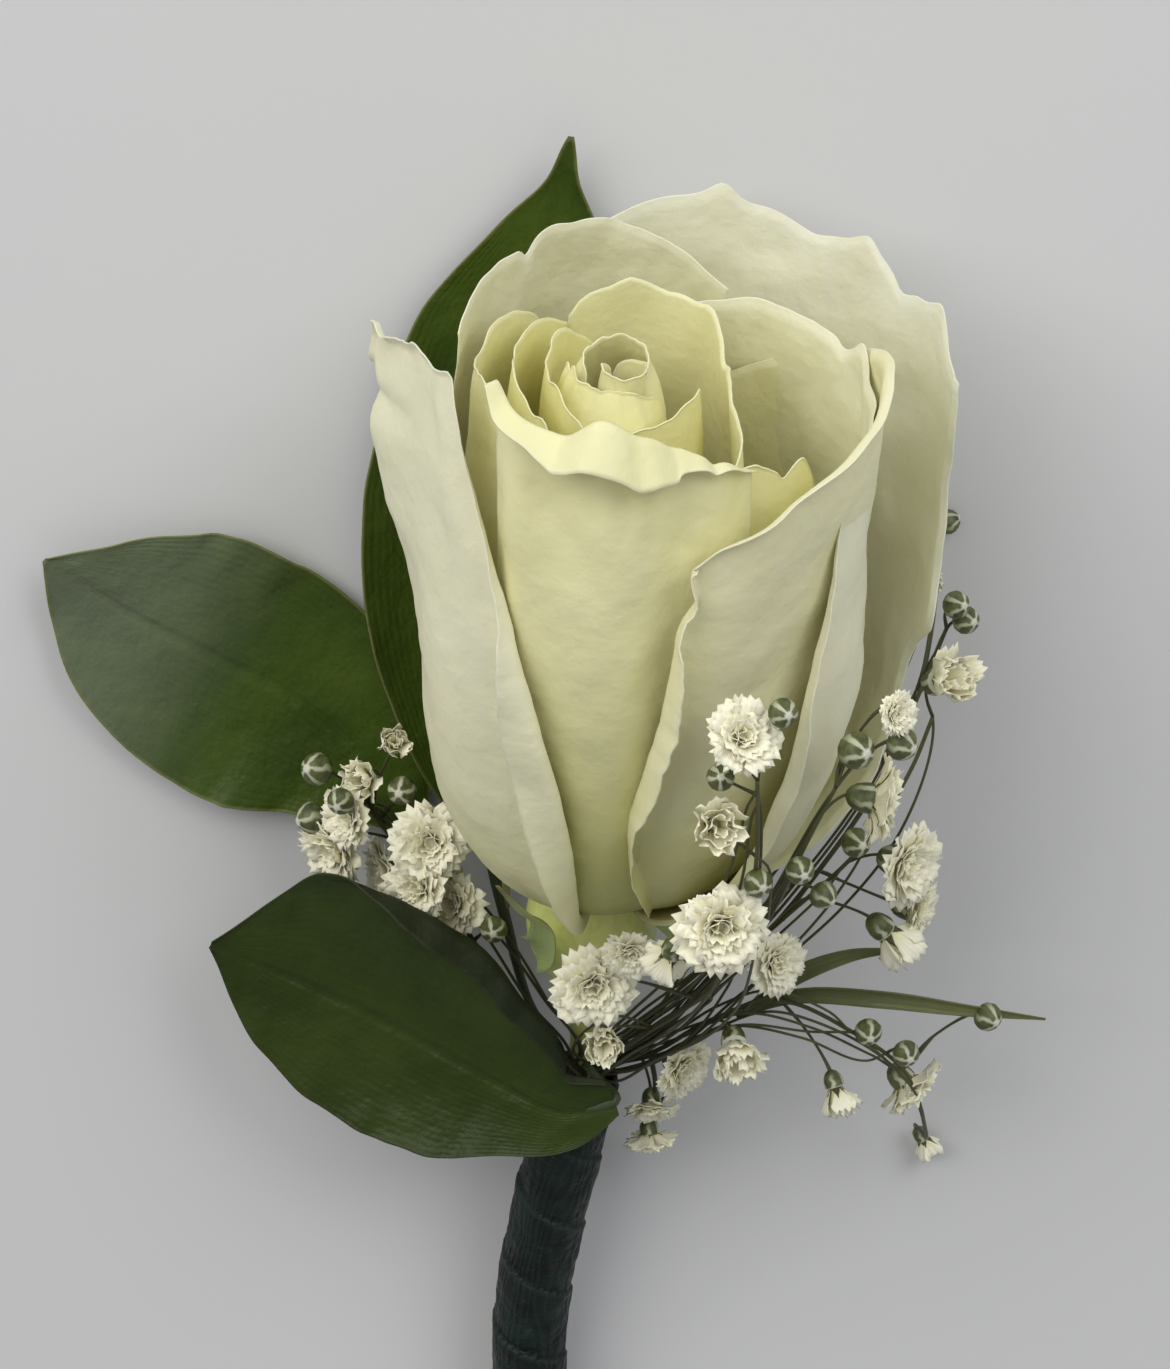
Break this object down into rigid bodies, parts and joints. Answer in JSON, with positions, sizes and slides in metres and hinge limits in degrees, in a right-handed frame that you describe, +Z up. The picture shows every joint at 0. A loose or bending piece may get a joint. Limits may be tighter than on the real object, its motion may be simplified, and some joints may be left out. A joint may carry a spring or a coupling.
{
  "type": "boutonniere",
  "caption": "Boutonniere of a half-open ivory rose with baby's breath and broad leaves, its stems bound in dark green floral tape, lying on its back.",
  "frame": {"origin": "middle of the footprint of the laid-down flower, on the surface it lies on", "axes": "+Y runs from the cut end of the taped stems to the bloom, the longest side; +Z is up, away from the surface it lies on, the shortest side; +X is across, to the viewer's right when the bloom points away from them"},
  "size_m": [0.1, 0.1442, 0.0538],
  "materials": {
    "rose_petal": "matte",
    "rose_green": "satin",
    "broad_leaf": "satin",
    "babys_breath": "matte",
    "floral_tape": "crinkled matte"
  },
  "bodies": {
    "root": {"rose_petals": "rose_petal", "rose_stem": "rose_green", "leaf_left": "broad_leaf", "leaf_back": "broad_leaf", "leaf_front": "broad_leaf", "sprig_left": "babys_breath", "sprig_front": "babys_breath", "sprig_side": "babys_breath", "sprig_low": "babys_breath", "tape_wrap": "floral_tape"}
  },
  "joints": []
}
